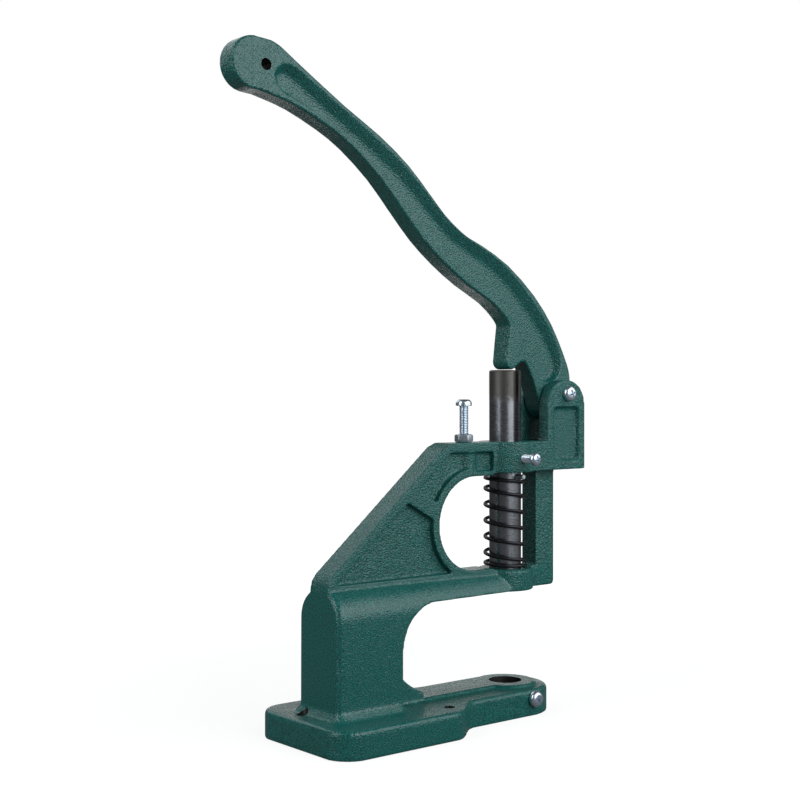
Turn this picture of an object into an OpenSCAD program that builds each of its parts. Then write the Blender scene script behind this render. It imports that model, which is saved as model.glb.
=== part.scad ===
// Snap button press: a hand press on one casting, with a lever, a sprung plunger and its screws.
// Millimetres. Z is up from the bench, X runs from the column towards the nose of the base,
// and the die hole and the plunger share the axis X = 0, Y = 0.

/* [Base] */
// Distance from the die axis to the back edge of the base
base_back = 159.5; // [155:0.5:170]
// Half of the width of the base plate
base_half = 42.5; // [38:0.5:48]
// Radius of the two back corners, seen from above
base_corner = 16; // [10:0.5:22]
// Height of the base plate
base_h = 16.1; // [14:0.1:17]
// Radius of the rounded top edge of the base
base_edge_r = 2.4; // [1:0.1:4]
// Radius of the round nose, which is also half of the width of the front arm
nose_r = 25.8; // [23:0.5:30]
// Where the plate starts to narrow, behind the die axis
step_back = 77; // [72:1:88]
// Where the plate has narrowed to the front arm, behind the die axis
step_front = 49; // [40:1:54]
// Radius of the raised pad round the die hole
pad_r = 19; // [15:0.5:22]
// Height of the raised pad and of the middle rib above the bench
pad_h = 17.9; // [17:0.1:20]
// Diameter of the die hole
die_d = 20.5; // [12:0.1:24]
// Diameter of the holes for the screws that hold the base down
foot_hole_d = 6.5; // [4:0.1:8]

/* [Column and arms] */
// Distance from the die axis to the back of the column
col_back = 144.5; // [140:0.5:148]
// Distance from the die axis to the front of the column
col_front = 98.4; // [92:0.1:104]
// Half of the width of the column
col_half = 19.6; // [18:0.1:24]
// Radius of the column's edges
col_corner = 4; // [2:0.5:6]
// Size of the sloped foot where the column meets the base
foot_flare = 4.5; // [2:0.5:6]
// Length and height of the gusset in front of the column, on the middle rib
gusset_run = 24.5; // [20:0.5:28]
gusset_rise = 25; // [18:0.5:30]
// Radius of the long shoulder where the column turns into the thin web
shoulder_r = 18; // [14:0.5:19]
// Height where the shoulder meets the web
shoulder_top = 86.5; // [84:0.5:88]
// Radius of the throat under the lower arm
throat_r = 26.5; // [18:0.5:28]
// Height of the underside of the lower arm
arm_z = 75.5; // [70:0.5:80]
// Half of the width of the lower arm at the plunger
arm_tip_half = 16.2; // [12:0.1:16.5]
// Half of the thickness of the web's rims
web_half = 8.5; // [7:0.1:10]
// Length of the short pocket in front of the stop screw
short_pocket = 17.3; // [14:0.1:18]
// Half of the thickness of the web inside its pockets
floor_half = 4.5; // [3.5:0.1:6]
// Width of the rims round the pockets
rim_w = 6; // [4:0.1:7]
// Distance from the die axis to the middle of the round window
window_back = 32.7; // [30:0.1:34]
// Distance by which the window stays lower than the spring's chamber, above and below
window_inset = 1.3; // [0.2:0.1:2]
// Width of the ring round the window
ring_w = 5.2; // [4:0.1:6]
// Width of the cross rib between the two pockets
rib_w = 10; // [6:0.1:12]
// Slope of the cross rib, and how far its lower side lies from the middle of the window
rib_angle = 151; // [148:1:156]
rib_side = 12.5; // [11:0.1:14]
// Radius of the boss for the stop screw
stop_boss_r = 7.4; // [5:0.1:8]
// Height of the flat top of the upper arm
top_z = 167.4; // [165:0.1:170]
// Height where the sloping back of the web starts
slope_z = 92; // [90:0.5:98]
// Distance from the die axis to the upper end of the slope
slope_top = 54.4; // [50:0.1:60]

/* [Plunger guides and post] */
// Radius of the upper guide boss
upper_boss_r = 17.2; // [14:0.1:18]
// Height of the underside of the upper guide boss
upper_boss_z = 148.2; // [146:0.1:149]
// Radius of the lower guide boss, the seat of the spring
lower_boss_r = 17.5; // [16:0.5:18]
// Height of the underside of the lower guide boss
lower_boss_z = 75.2; // [72:0.1:76]
// Height of the seat of the spring
seat_z = 88.5; // [85:0.1:92]
// Back face of the front post, in front of the die axis
post_back = 20.7; // [18:0.1:22]
// Front face of the front post, in front of the die axis
post_front = 36.9; // [30:0.1:40]
// Half of the width of the front post
post_half = 6.4; // [5:0.1:8.5]
// Height of the lower end of the front post
post_z = 75.2; // [74:0.1:79]

/* [Hinge ears] */
// Half of the width over both ears
ear_half = 15.75; // [15:0.05:18]
// Gap between the ears
ear_gap = 14.8; // [14.2:0.1:16]
// Back edge of the ears, in front of the die axis
ear_back = 22.5; // [21:0.5:25]
// Front edge of the ears, in front of the die axis
ear_front = 55.6; // [54:0.1:58]
// Height of the underside of the ears
ear_z = 148.8; // [148:0.1:151]
// Height of the top of the ears
ear_top = 205.6; // [204:0.1:208]
// Radius of the round corners on top of the ears
ear_r = 15.4; // [12:0.1:16]
// Depth of the recess in each ear's outer face
ear_recess = 3; // [1:0.5:4]
// Distance from the die axis to the lever's pivot
pivot_x = 40.4; // [39:0.1:42]
// Height of the lever's pivot
pivot_z = 197.1; // [196:0.1:198]

/* [Lever] */
// Thickness of the lever
lever_t = 13.6; // [11:0.1:13.6]
// Depth of the long recess in each side of the lever
lever_recess = 4.4; // [1:0.1:4.5]
// Radius of the rounded edges of the lever
lever_edge_r = 1.3; // [0.5:0.1:1.5]
// Radius of the round end of the handle
tip_r = 14.5; // [14:0.1:15.5]
// Diameter of the hole in the handle's end
tip_hole_d = 6.6; // [4:0.1:9]
// Radius of the nose that presses the plunger
foot_r = 4.8; // [3:0.1:6]

/* [Plunger and spring] */
// Diameter of the plunger
plunger_d = 20; // [19:0.1:20]
// Height of the plunger's lower end
plunger_z = 76.6; // [75.5:0.1:80]
// Height of the plunger's upper end
plunger_top = 211.8; // [205:0.1:211.8]
// Radial clearance of the plunger in its guides
plunger_fit = 0.05; // [0.03:0.01:0.09]
// Width of the keyway that stops the plunger from turning
key_w = 4.6; // [4.5:0.1:5]
// Depth of the keyway
key_depth = 2.5; // [2.4:0.1:3]
// Height of the lower end of the keyway
key_z = 150; // [148:0.5:153]
// Diameter of the threaded hole for the upper die
upper_die_d = 8.5; // [6:0.1:10]
// Depth of the threaded hole for the upper die
upper_die_depth = 18; // [10:0.5:22]
// Diameter of the cross pin above the spring
spring_pin_d = 3; // [2.5:0.1:3.4]
// Length of the cross pin
spring_pin_l = 34; // [28:0.5:36]
// Height of the cross pin
spring_pin_z = 145.6; // [145:0.1:146.4]
// Diameter of the spring wire
wire_d = 2.2; // [1.6:0.1:2.2]
// Mean radius of the spring
spring_r = 12.6; // [12.2:0.05:12.8]
// Number of turns of the spring
spring_turns = 6.5; // [4:0.125:7]
// Rise of the closed turn at the lower end of the spring
spring_end_pitch = 2.9; // [2.7:0.1:4]
// Rise from the last full turn up to the cross pin, and of the wire's end beyond the pin
spring_settle = 5; // [2:0.1:6]
spring_tail = 1.7; // [0.5:0.1:3]

/* [Screws and nuts] */
// Thread diameter of the screws
screw_d = 6; // [5.9:0.05:6]
// Thread diameter of the guide screw
guide_screw_d = 5; // [4.9:0.05:5]
// Diameter of a screw's head, in thread diameters
head_share = 1.65; // [1.5:0.05:1.9]
// Height of a screw's head, in thread diameters
head_rise = 0.66; // [0.5:0.01:0.8]
// Width across flats of the nuts
nut_af = 10; // [9:0.1:10]
// Height of the nuts
nut_h = 4.9; // [4:0.1:5.2]
// Distance from the die axis to the stop screw
stop_back = 34.8; // [33:0.1:36]
// Height of the underside of the stop screw's head
stop_z = 189.7; // [180:0.1:190]
// Height of the guide screw
guide_z = 157; // [155:0.5:160]
// Distance from the die axis to the underside of the guide screw's head
guide_head = 26; // [18:0.5:27]
// Height of the die clamp screw
clamp_z = 10.4; // [9:0.1:11]
// Distance from the die axis to the underside of the die clamp screw's head
clamp_head = 26.2; // [26.2:0.1:28]

/* [Hidden] */

eps = 0.01;
enamel = "#1c5147";
steel = "#8d8f92";
zinc = "#c3cbd2";
black_wire = "#26262a";

// Radial clearance of screws and of the lever's pivot in their holes
screw_fit = 0.05;
screw_hole_r = screw_d / 2 + screw_fit;
// Radial clearance of the cross pin in the plunger
pin_fit = 0.02;
// The window is as high as the spring's chamber
window_r = (upper_boss_z - seat_z) / 2 - window_inset;
window_z = (upper_boss_z + seat_z) / 2;
web_low = arm_z + 4;
plunger_r = plunger_d / 2;

// Middle of the round end of the handle, and of its hole
tip = [-191.4, 375.7];
tip_hole = [-184.2, 375.5];
// Middle of the nose that presses the plunger
foot = [-0.2, plunger_top + 0.3 + foot_r];
// Middle and radius of the lever's round lower end
lever_end = [37.5, 194.5];
lever_end_r = 14.5;

// Upper edge of the lever, from the pivot up to the handle's end
lever_upper = [[52, 206], [50.9, 212], [46.6, 221.6], [35.6, 240.6], [19.7, 259], [-3, 276.8], [-24, 287.3],
               [-35, 291.5], [-43.2, 295.8], [-54.8, 304], [-66.4, 315], [-83.6, 331], [-105.2, 346],
               [-130.7, 360], [-164.2, 380.5], [-174.4, 387], [-180.5, 389.3]];
// Lower edge of the lever, from the handle's end down to the notch above the foot
lever_lower = [[-186, 360.8], [-176.3, 358.7], [-162.6, 355], [-141.7, 346.3], [-124.8, 336.8],
               [-105.2, 321.4], [-89.5, 305.2], [-73.3, 288.6], [-55.6, 274.7], [-37.5, 263.4],
               [-17.3, 253.2], [-6, 244.4], [-2.2, 239.8]];
// Back of the foot, and its front down to the round lower end
foot_back = [-3.6, 229];
lever_foot = [[7.6, 216.6], [10.8, 217.2], [14.2, 213], [18.6, 204.5]];
// Floor of the long recess in each side of the lever, anticlockwise, as [x, z, width of its sloping wall]
lever_hollow = [[-174.3, 370, 4.5], [-173.5, 366.5, 3.5], [-170, 363.2, 2.4], [-160.9, 359.7, 1.8],
                [-146, 353, 1.6], [-123, 339.9, 1.6], [-99.3, 320.4, 1.6], [-88.7, 309.8, 1.6],
                [-79, 299.8, 1.6],
                [-57, 281.8, 1.6], [-29, 263.4, 1.6], [-6, 251, 1.6], [4, 241, 1.6], [12, 228.3, 1.6],
                [18, 217.5, 1.6], [23, 209.3, 1.6], [29.5, 206, 1.8], [36, 208, 3], [38.3, 215.5, 5.4],
                [32.5, 226, 7.2], [22.1, 239.6, 7.7], [7.3, 254.9, 8], [-7.1, 266.8, 8],
                [-21.2, 275.6, 8], [-35, 281.8, 8], [-48.5, 288.6, 8], [-60.5, 297.5, 8],
                [-72.5, 308, 8], [-85.5, 318.8, 8],
                [-98, 328.2, 8], [-122, 343.2, 7.8], [-145.5, 357.2, 7.4], [-158, 365, 7],
                [-167, 370.6, 6.6], [-171.5, 372.2, 5.8]];

function unit(v) = v / norm(v);
function dir(a) = [cos(a), sin(a)];
function arc(c, r, a0, a1, n) = [for (i = [0:n]) c + r * dir(a0 + (a1 - a0) * i / n)];

// A point on the smooth curve that runs from b to c, with a and d as its neighbours
function curve_point(a, b, c, d, t) =
    0.5 * (2 * b + (c - a) * t + (2 * a - 5 * b + 4 * c - d) * t * t
           + (3 * b - a - 3 * c + d) * t * t * t);
// A smooth open curve through the points p, with n steps between two of them
function smooth_curve(p, n) = let (last = len(p) - 1) concat(
    [for (i = [0:last - 1]) for (k = [0:n - 1])
        curve_point(p[max(i - 1, 0)], p[i], p[i + 1], p[min(i + 2, last)], k / n)],
    [p[last]]);
// A smooth closed curve through the points p, with n steps between two of them
function smooth_loop(p, n) = let (m = len(p)) [for (i = [0:m - 1]) for (k = [0:n - 1])
    curve_point(p[(i + m - 1) % m], p[i], p[(i + 1) % m], p[(i + 2) % m], k / n)];
// The closed outline p drawn in by d, square to its own run; d is one number or a list
function drawn_in(p, d) = let (n = len(p)) [for (i = [0:n - 1])
    let (along = unit(p[(i + 1) % n] - p[(i + n - 1) % n]), depth = is_num(d) ? d : d[i])
    p[i] + depth * [-along[1], along[0]]];

// Whether q lies in the triangle a, b, c, whose corners run anticlockwise
function in_triangle(q, a, b, c) =
    cross(b - a, q - a) >= 0 && cross(c - b, q - b) >= 0 && cross(a - c, q - c) >= 0;
// The three corners round the place i in the list ids
function corner(ids, i) = let (n = len(ids)) [ids[(i + n - 1) % n], ids[i % n], ids[(i + 1) % n]];
// Whether the triangle t can be cut off the outline p, whose points left are ids
function can_cut(p, ids, t) =
    let (a = p[t[0]], b = p[t[1]], c = p[t[2]], others = [for (k = ids) if (len(search(k, t)) == 0) p[k]])
    cross(b - a, c - b) > 0.000001 && len([for (q = others) if (in_triangle(q, a, b, c)) q]) == 0;
function first_cut(p, ids, i, tries) =
    tries == 0 || can_cut(p, ids, corner(ids, i)) ? i % len(ids) : first_cut(p, ids, i + 1, tries - 1);
// The outline p cut into triangles, one corner at a time
function flat_triangles(p, ids, from = 0) = len(ids) < 4 ? [ids] :
    let (i = first_cut(p, ids, from, len(ids)))
    concat([corner(ids, i)], flat_triangles(p, [for (k = [0:len(ids) - 1]) if (k != i) ids[k]], i + 1));
function counted(list) = [for (i = [0:len(list) - 1]) i];

// A closed solid through rings of points; every ring runs anticlockwise round the way ahead
module skin(rings, start, end) {
    n = len(rings[0]);
    last = len(rings) - 1;
    sides = [for (r = [0:last - 1]) for (i = [0:n - 1]) let (j = (i + 1) % n)
        each [[r * n + i, (r + 1) * n + j, r * n + j], [r * n + i, (r + 1) * n + i, (r + 1) * n + j]]];
    far_end = [for (face = end) [for (i = [len(face) - 1:-1:0]) last * n + face[i]]];
    polyhedron([for (ring = rings) each ring], concat(sides, start, far_end), convexity = 6);
}

// A solid through rings that curve outwards everywhere
module round_skin(rings) {
    skin(rings, [counted(rings[0])], [counted(rings[0])]);
}

// A solid through flat outlines of equal count, one above the other
module loft(outlines, heights) {
    last = len(outlines) - 1;
    ids = counted(outlines[0]);
    skin([for (r = [0:last]) [for (p = outlines[r]) [p[0], p[1], heights[r]]]],
         flat_triangles(outlines[0], ids), flat_triangles(outlines[last], ids));
}

// A plate with rounded edges: on top only, or on both faces
module rounded_plate(outline, thickness, edge_r, both) {
    steps = [0, 30, 60, 90];
    upper = [for (a = steps) [edge_r * (1 - cos(a)), thickness - edge_r * (1 - sin(a))]];
    lower = both ? [for (a = [90, 60, 30]) [edge_r * (1 - cos(a)), edge_r * (1 - sin(a))]] : [[0, 0]];
    rings = concat(lower, both ? [[0, edge_r]] : [], upper);
    loft([for (r = rings) drawn_in(outline, r[0])], [for (r = rings) r[1]]);
}

// Turns a shape drawn in X and Z into a plate that spans the given half width each way in Y
module upright(half) {
    rotate([90, 0, 0]) translate([0, 0, -half]) linear_extrude(2 * half) children();
}

// Half of the width of the base at x: the plate, the smooth step and the front arm
function step_share(x) = let (t = (x + step_back) / (step_back - step_front)) t * t * (3 - 2 * t);
function half_at(x) = base_half + (nose_r - base_half) * step_share(x);

// Outline of the base seen from above, anticlockwise from the nose
base_outline = let (
    back = -base_back + base_corner,
    side = base_half - base_corner,
    step_x = [for (i = [0:8]) -step_front - (step_back - step_front) * i / 8]
) concat(
    arc([0, 0], nose_r, -90, 90, 24),
    [for (x = step_x) [x, half_at(x)]],
    arc([back, side], base_corner, 90, 180, 8),
    arc([back, -side], base_corner, 180, 270, 8),
    [for (i = [8:-1:0]) [step_x[i], -half_at(step_x[i])]]);

module base() {
    rounded_plate(base_outline, base_h, base_edge_r, false);
    cylinder(r = pad_r, h = pad_h, $fn = 96);
    translate([-col_front - 1, -web_half, 0]) cube([col_front + 1, 2 * web_half, pad_h]);
}

// The column and the lower arm seen from the side, with the round throat cut out
module body_side() {
    difference() {
        translate([-col_back - 1, base_h - 1]) square([col_back + 1, 92 - base_h]);
        translate([-col_front + throat_r, arm_z - throat_r]) circle(r = throat_r, $fn = 96);
        translate([-col_front, 0]) square([col_front + 10, arm_z - throat_r]);
        translate([-col_front + throat_r, 0]) square([col_front, arm_z]);
    }
}

// The column's section in Y and Z, anticlockwise: straight sides that turn in to the web
body_section = let (
    web_y = web_half - 2,
    dy = col_half - shoulder_r - web_half,
    shoulder_z = shoulder_top - sqrt(shoulder_r * shoulder_r - dy * dy),
    last = acos((web_y - col_half + shoulder_r) / shoulder_r),
    right = concat([[col_half, 5]], arc([col_half - shoulder_r, shoulder_z], shoulder_r, 0, last, 12))
) concat(right, [for (i = [len(right) - 1:-1:0]) [-right[i][0], right[i][1]]]);

// The column runs forward into the arm, which narrows to the lower guide boss
module column_and_arm() {
    section = body_section;
    edge = [for (a = [0, 22.5, 45, 67.5, 90]) col_corner * [1 - sin(a), 1 - cos(a)]];
    narrow = arm_tip_half / col_half;
    rings = concat(
        [for (e = edge) [for (p = drawn_in(section, e[0])) [-col_back + e[1], p[0], p[1]]]],
        [[for (p = section) [-col_front, p[0], p[1]]]],
        [[for (p = section) [0, p[0] * narrow, p[1]]]]);
    intersection() {
        round_skin(rings);
        upright(30) body_side();
    }
}

// The sloped foot of the column, and the gusset on the middle rib
module column_foot() {
    side = col_half - col_corner;
    hull() for (x = [-col_back + col_corner, -col_front - col_corner], y = [-side, side])
        translate([x, y, base_h - 1]) {
            cylinder(r = col_corner, h = 1 + foot_flare, $fn = 32);
            cylinder(r = col_corner + foot_flare * 0.8, h = 1.2, $fn = 32);
        }
    upright(web_half) offset(r = 1.5, $fn = 16) offset(delta = -1.5) difference() {
        translate([-col_front - 3, pad_h - 3]) square([gusset_run + 3, gusset_rise + 3]);
        translate([-col_front + 38.8, pad_h + 45.4]) circle(r = 44, $fn = 120);
    }
}

// Side view of the web: slope and upper arm, with the round window and the spring chamber
module web_side() {
    difference() {
        polygon(concat(
            [[-col_back, web_low], [lower_boss_r - 5, web_low], [lower_boss_r - 5, top_z]],
            [[-slope_top + 3, top_z], [-slope_top - 3, top_z - 2.5]],
            [[-col_back + 4, slope_z + 3.4], [-col_back + 1, slope_z - 0.6], [-col_back, slope_z - 6]]));
        translate([-window_back, window_z]) circle(r = window_r, $fn = 120);
        translate([-window_back, window_z - window_r]) square([window_back, 2 * window_r]);
        translate([-upper_boss_r, seat_z]) square([upper_boss_r + post_back, upper_boss_z - seat_z]);
    }
}

// Side view of the post that joins both arms in front of the spring
module post_side() {
    difference() {
        polygon(concat(
            [[lower_boss_r - 5, ear_z + 1], [lower_boss_r - 5, post_z]],
            arc([post_front - 2.5, post_z + 2.5], 2.5, -90, 0, 4),
            [[post_front, ear_z + 1]]));
        translate([0, seat_z]) square([post_back, ear_z]);
    }
}

// The pockets in each side of the web, between the slope's rim, the ring and the screw boss
module pocket_side() {
    slope = unit([col_back - slope_top, top_z - slope_z]);
    low = [-col_back, slope_z] + rim_w * [slope[1], -slope[0]];
    floor_line = seat_z + 0.9;
    ceiling = top_z - rim_w;
    difference() {
        polygon([low + slope * ((floor_line - low[1]) / slope[1]), [-window_back, floor_line],
                 [-window_back, window_z], [-stop_back, window_z], [-stop_back, ceiling],
                 low + slope * ((ceiling - low[1]) / slope[1])]);
        translate([-window_back, window_z]) {
            circle(r = window_r + ring_w, $fn = 120);
            rotate(rib_angle) translate([0, rib_side - rib_w]) square([90, rib_w]);
        }
    }
    // The short pocket between the stop screw's boss and the upper guide
    short_z = window_z + window_r + 3;
    translate([-stop_back - eps, short_z]) square([short_pocket, ceiling - short_z]);
}

module web() {
    upright(post_half) post_side();
    difference() {
        upright(web_half) web_side();
        for (side = [-1, 1]) translate([0, side * (floor_half + 10), 0]) upright(10) pocket_side();
    }
    // The boss that the stop screw is threaded into
    translate([-stop_back, 0, window_z + window_r + 1])
        cylinder(r = stop_boss_r, h = top_z - window_z - window_r - 1, $fn = 64);
}

module guides() {
    translate([0, 0, lower_boss_z]) cylinder(r = lower_boss_r, h = seat_z - lower_boss_z - 1.2, $fn = 96);
    translate([0, 0, seat_z - 1.2 - eps])
        cylinder(r1 = lower_boss_r, r2 = lower_boss_r - 1.2, h = 1.2 + eps, $fn = 96);
    translate([0, 0, upper_boss_z]) cylinder(r = upper_boss_r, h = top_z - upper_boss_z, $fn = 96);
}

// Mouth of the recess in each ear, anticlockwise
ear_hollow = let (r = 3.5, x = [ear_back + 5, ear_front - 4.5], z = [ear_z + 5.4, ear_z + 40.2]) concat(
    arc([x[1] - r, z[0] + r], r, 270, 360, 4), arc([x[1] - r, z[1] - r], r, 0, 90, 4),
    arc([x[0] + r, z[1] - r], r, 90, 180, 4), arc([x[0] + r, z[0] + r], r, 180, 270, 4));

module ear_side() {
    hull() {
        for (x = [ear_back + ear_r, ear_front - ear_r])
            translate([x, ear_top - ear_r]) circle(r = ear_r, $fn = 96);
        translate([ear_back, ear_z]) square([ear_front - ear_back, 2]);
    }
}

// The block between the upper guide and the hinge, the two ears, and the recesses outside them
module ears() {
    difference() {
        union() {
            translate([0, -ear_half, ear_z]) cube([ear_front, 2 * ear_half, top_z - ear_z]);
            upright(ear_half) ear_side();
        }
        translate([ear_back - 5, -ear_gap / 2, top_z]) cube([60, ear_gap, 60]);
        for (side = [0, 1]) mirror([0, side, 0]) rotate([90, 0, 0])
            loft([drawn_in(ear_hollow, 2), drawn_in(ear_hollow, 1.2), ear_hollow, ear_hollow],
                 [for (h = [ear_recess, ear_recess - 0.8, 0, -1]) ear_half - h]);
    }
}

module frame_casting() {
    color(enamel) difference() {
        union() {
            base();
            column_and_arm();
            column_foot();
            web();
            guides();
            ears();
        }
        translate([0, 0, -1]) cylinder(d = die_d, h = pad_h + 2, $fn = 96);
        translate([0, 0, lower_boss_z - 1]) cylinder(r = plunger_r + plunger_fit, h = 120, $fn = 96);
        for (at = foot_holes)
            translate([at[0], at[1], -1]) cylinder(d = foot_hole_d, h = base_h + 8, $fn = 48);
        translate([-stop_back, 0, window_z]) cylinder(r = screw_hole_r, h = 60, $fn = 48);
        translate([0, 0, clamp_z]) rotate([90, 0, 0]) cylinder(r = screw_hole_r, h = 40, $fn = 48);
        translate([0, 0, guide_z]) rotate([90, 0, 0])
            cylinder(r = guide_screw_d / 2 + screw_fit, h = 40, $fn = 48);
        translate([pivot_x, 30, pivot_z]) rotate([90, 0, 0])
            cylinder(r = screw_hole_r, h = 60, $fn = 48);
    }
}

// Holes for holding the base down: two beside the column and one behind it
foot_holes = [[-72, -29], [-72, 29], [-148.5, 10]];

// Outline of the lever in X and Z, anticlockwise from its round lower end
lever_outline = concat(
    arc(lever_end, lever_end_r, 185, 372, 12),
    smooth_curve(lever_upper, 2),
    arc(tip, tip_r, 78, 262, 14),
    smooth_curve(lever_lower, 2),
    [foot_back],
    arc(foot, foot_r, 180, 325, 6),
    lever_foot);

module lever() {
    smooth_hollow = smooth_loop(lever_hollow, 2);
    hollow_floor = [for (p = smooth_hollow) [p[0], p[1]]];
    wall_w = [for (p = smooth_hollow) p[2]];
    // How far the recess's wall has run out, and how deep it still is
    wall = [[0, 1], [0.3, 0.85], [0.7, 0.35], [1.2, -0.23]];
    color(enamel) difference() {
        rotate([90, 0, 0]) translate([0, 0, -lever_t / 2])
            rounded_plate(lever_outline, lever_t, lever_edge_r, true);
        for (side = [0, 1]) mirror([0, side, 0]) rotate([90, 0, 0])
            loft([for (w = wall) drawn_in(hollow_floor, -w[0] * wall_w)],
                 [for (w = wall) lever_t / 2 - w[1] * lever_recess]);
        translate([pivot_x, lever_t, pivot_z]) rotate([90, 0, 0])
            cylinder(r = screw_hole_r, h = 2 * lever_t, $fn = 48);
        translate([tip_hole[0], lever_t, tip_hole[1]]) rotate([90, 0, 0])
            cylinder(d = tip_hole_d, h = 2 * lever_t, $fn = 48);
    }
}

module plunger() {
    chamfer = 0.8;
    color(steel) difference() {
        rotate_extrude($fn = 96) polygon([
            [0, plunger_z], [plunger_r - chamfer, plunger_z], [plunger_r, plunger_z + chamfer],
            [plunger_r, plunger_top - chamfer], [plunger_r - chamfer, plunger_top], [0, plunger_top]]);
        translate([-key_w / 2, -plunger_r - 1, key_z])
            cube([key_w, key_depth + 1, plunger_top - key_z + 1]);
        translate([0, 0, plunger_z - 1]) cylinder(d = upper_die_d, h = upper_die_depth + 1, $fn = 48);
        translate([0, plunger_d, spring_pin_z]) rotate([90, 0, 0])
            cylinder(r = spring_pin_d / 2 + pin_fit, h = 2 * plunger_d, $fn = 48);
    }
}

module spring_pin() {
    chamfer = 0.4;
    color(zinc) translate([0, spring_pin_l / 2, spring_pin_z]) rotate([90, 0, 0])
        rotate_extrude($fn = 48) polygon([
            [0, 0], [spring_pin_d / 2 - chamfer, 0], [spring_pin_d / 2, chamfer],
            [spring_pin_d / 2, spring_pin_l - chamfer], [spring_pin_d / 2 - chamfer, spring_pin_l],
            [0, spring_pin_l]]);
}

// The spring is wound left-handed. Its lower turn is closed and its upper end runs up past the pin
spring_low = seat_z + wire_d / 2 + 0.1;
spring_high = spring_pin_z - spring_pin_d / 2 - wire_d / 2 - 0.1;
spring_heights = [
    [0, spring_low], [1, spring_low + spring_end_pitch], [spring_turns - 1, spring_high - spring_settle],
    [spring_turns - 0.36, spring_high], [spring_turns, spring_high + spring_tail]];
spring_start = 320.6;
spring_sides = 6;
spring_rings = 8;
function spring_point(turn) = let (a = spring_start - 360 * turn)
    [spring_r * cos(a), spring_r * sin(a), lookup(turn, spring_heights)];
function spring_run(turn) = unit(spring_point(turn + 0.01) - spring_point(turn - 0.01));
// One ring of the wire's skin round the point c, square to the run
function wire_ring(c, run, out) = let (up = cross(run, out))
    [for (k = [0:spring_sides - 1]) c + wire_d / 2 * (cos(360 * k / spring_sides) * out
                                                     + sin(360 * k / spring_sides) * up)];
function turn_ring(turn, ahead) = let (
    a = spring_start - 360 * turn,
    flat = [cos(a), sin(a), 0],
    run = spring_run(turn),
    out = unit(flat - (flat * run) * run)
) wire_ring(spring_point(turn) + ahead * run, run, out);

spring_steps = [for (i = [0:spring_turns * spring_rings]) i / spring_rings];
// Least gap between two turns, over all points more than half a turn apart
spring_gap = min([for (a = spring_steps) for (b = spring_steps)
    if (b - a > 0.5) norm(spring_point(a) - spring_point(b))]) - wire_d;
echo(spring_least_gap = spring_gap);

module return_spring() {
    color(black_wire) round_skin(concat(
        [turn_ring(0, -wire_d)],
        [for (turn = spring_steps) turn_ring(turn, 0)],
        [turn_ring(spring_turns, wire_d)]));
}

// A screw that points down, with the underside of its head at height 0
module screw(d, shank, dog = 0) {
    r = d / 2;
    dog_r = 2;
    head_r = head_share * r;
    head_h = head_rise * d;
    dog_z = -shank - dog;
    end = dog > 0 ? [[0, dog_z], [dog_r - 0.3, dog_z], [dog_r, dog_z + 0.3], [dog_r, -shank]]
                  : [[0, -shank]];
    color(zinc) difference() {
        rotate_extrude($fn = 48) polygon(concat(
            end,
            [[r - 0.6, -shank], [r, -shank + 0.6], [r, 0], [head_r, 0]],
            arc([head_r - 2.6, head_h - 2.6], 2.6, 0, 75, 5),
            [[0, head_h]]));
        for (a = [0, 90])
            rotate(a) translate([-0.6, -head_r / 2, head_h / 2]) cube([1.2, head_r, head_h]);
    }
}

// A hexagon nut that stands on height 0
module nut() {
    corner_r = nut_af / sqrt(3);
    color(zinc) difference() {
        intersection() {
            cylinder(r = corner_r, h = nut_h, $fn = 6);
            rotate_extrude($fn = 48) polygon([
                [0, 0], [nut_af / 2 - 0.2, 0], [corner_r + 0.1, 0.8], [corner_r + 0.1, nut_h - 0.8],
                [nut_af / 2 - 0.2, nut_h], [0, nut_h]]);
        }
        translate([0, 0, -1]) cylinder(r = screw_hole_r, h = nut_h + 2, $fn = 48);
    }
}

// Lays what points down so that it points towards the middle of the press, from the front side
module from_side(y, z, x = 0) {
    translate([x, -y, z]) rotate([90, 0, 0]) children();
}

module guide_screw() {
    from_side(guide_head, guide_z) screw(guide_screw_d, guide_head - plunger_r - 0.6, key_depth + 0.2);
}

module die_clamp_screw() {
    from_side(clamp_head, clamp_z) screw(screw_d, clamp_head - die_d / 2 - 0.2);
}

module stop_screw() {
    translate([-stop_back, 0, stop_z]) screw(screw_d, stop_z - window_z - window_r - 1.5);
}

module stop_nut() {
    translate([-stop_back, 0, top_z + 0.1]) rotate(14) nut();
}

module pivot_screw() {
    from_side(ear_half, pivot_z, pivot_x) screw(screw_d, 2 * ear_half + nut_h + 1.2);
}

module pivot_nut() {
    translate([pivot_x, ear_half + nut_h, pivot_z]) rotate([90, 0, 0]) rotate(20) nut();
}

frame_casting();
lever();
plunger();
spring_pin();
return_spring();
guide_screw();
die_clamp_screw();
stop_screw();
stop_nut();
pivot_screw();
pivot_nut();
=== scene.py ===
"""The finished look of a snap button press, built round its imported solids."""

import math

import bmesh
import bpy
import numpy as np
from bpy.props import FloatProperty, FloatVectorProperty, IntProperty, PointerProperty
from bpy.types import Node, NodeSocket, Operator, Panel, PropertyGroup
from mathutils import Matrix, Vector


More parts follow.
